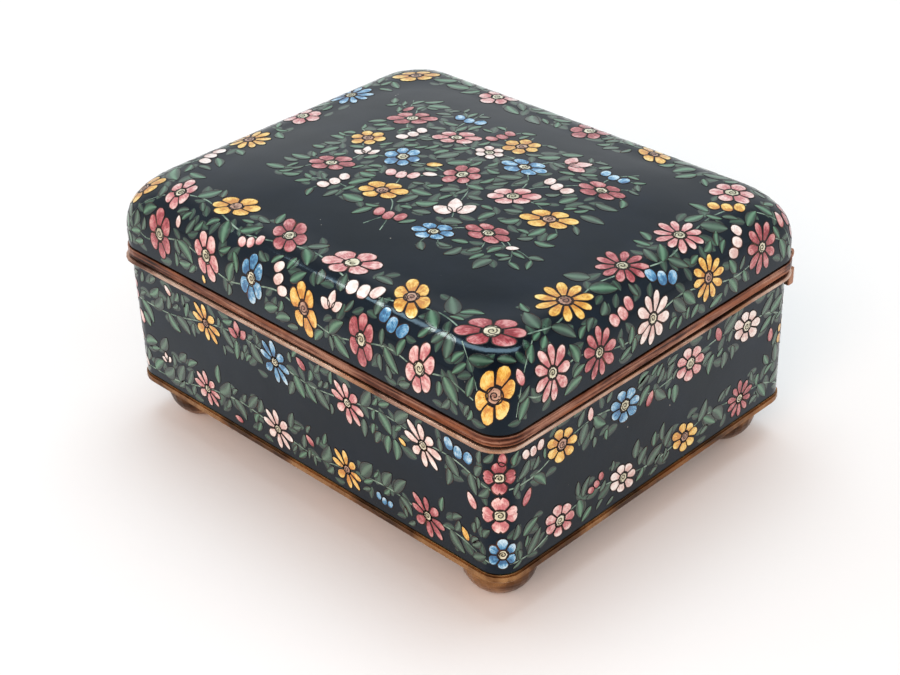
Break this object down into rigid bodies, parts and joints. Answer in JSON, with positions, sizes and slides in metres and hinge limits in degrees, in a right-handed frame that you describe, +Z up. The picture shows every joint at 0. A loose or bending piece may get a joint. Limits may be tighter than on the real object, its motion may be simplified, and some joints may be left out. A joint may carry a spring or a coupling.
{
  "type": "cloisonne enamel box",
  "caption": "Rectangular black-ground cloisonne enamel box with a domed hinged lid, copper rims and round bun feet.",
  "frame": {"origin": "on the ground, under the middle of the whole box and its hinge", "axes": "+Z up, X along the long sides, -Y towards the front long side, +Y towards the back with the hinge"},
  "size_m": [0.1124, 0.094, 0.0599],
  "materials": {
    "enamel": "glossy black enamel on copper, with coloured flowers in wire cells",
    "rim_copper": "worn reddish brown copper, satin",
    "golden_copper": "worn golden brown copper, satin"
  },
  "bodies": {
    "base": {"box_body": "enamel", "bottom_plate": "golden_copper", "base_rim": "rim_copper", "foot_front_left": "golden_copper", "foot_front_right": "golden_copper", "foot_back_left": "golden_copper", "foot_back_right": "golden_copper", "base_hinge_leaf": "rim_copper", "hinge_pin": "golden_copper"},
    "lid": {"lid_shell": "enamel", "lid_rim": "rim_copper", "lid_hinge_leaf": "rim_copper"}
  },
  "joints": [
    {"name": "lid_hinge", "type": "hinge", "parent": "base", "child": "lid", "pos_m": [0, 0.04565, 0.04035], "axis": [-1, 0, 0], "range_deg": [0, 100]}
  ]
}
